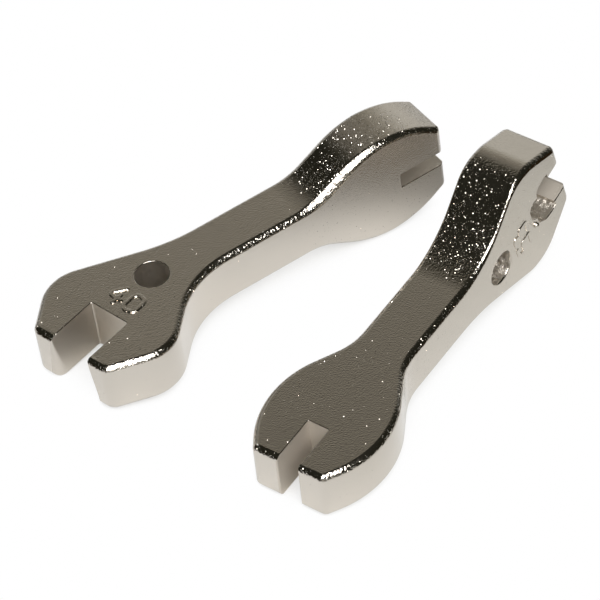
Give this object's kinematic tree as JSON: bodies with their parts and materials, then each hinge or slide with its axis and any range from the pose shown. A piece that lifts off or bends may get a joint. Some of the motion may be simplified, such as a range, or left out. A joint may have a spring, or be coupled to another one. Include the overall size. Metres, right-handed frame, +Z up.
{
  "type": "spoke wrench",
  "caption": "Double-ended spoke wrenches in plated cast steel: a slotted round head at one end, and an angled open jaw with a hanging hole, turned a quarter turn, at the other.",
  "frame": {"origin": "middle of the pair's footprint, on the surface that both wrenches lie on", "axes": "+Z up; +Y along the coarse wrench's bar, from its round head towards its jaw; +X from the fine wrench to the coarse wrench"},
  "size_m": [0.09, 0.1053, 0.0345],
  "materials": {
    "plated_steel": "satin nickel plate over cast steel"
  },
  "bodies": {
    "coarse": {"coarse_wrench": "plated_steel"},
    "fine": {"fine_wrench": "plated_steel"}
  },
  "joints": [
    {"name": "fine_lift", "type": "slide", "parent": "coarse", "child": "fine", "axis": [0, 0, 1], "range_m": [0, 0.06]}
  ]
}
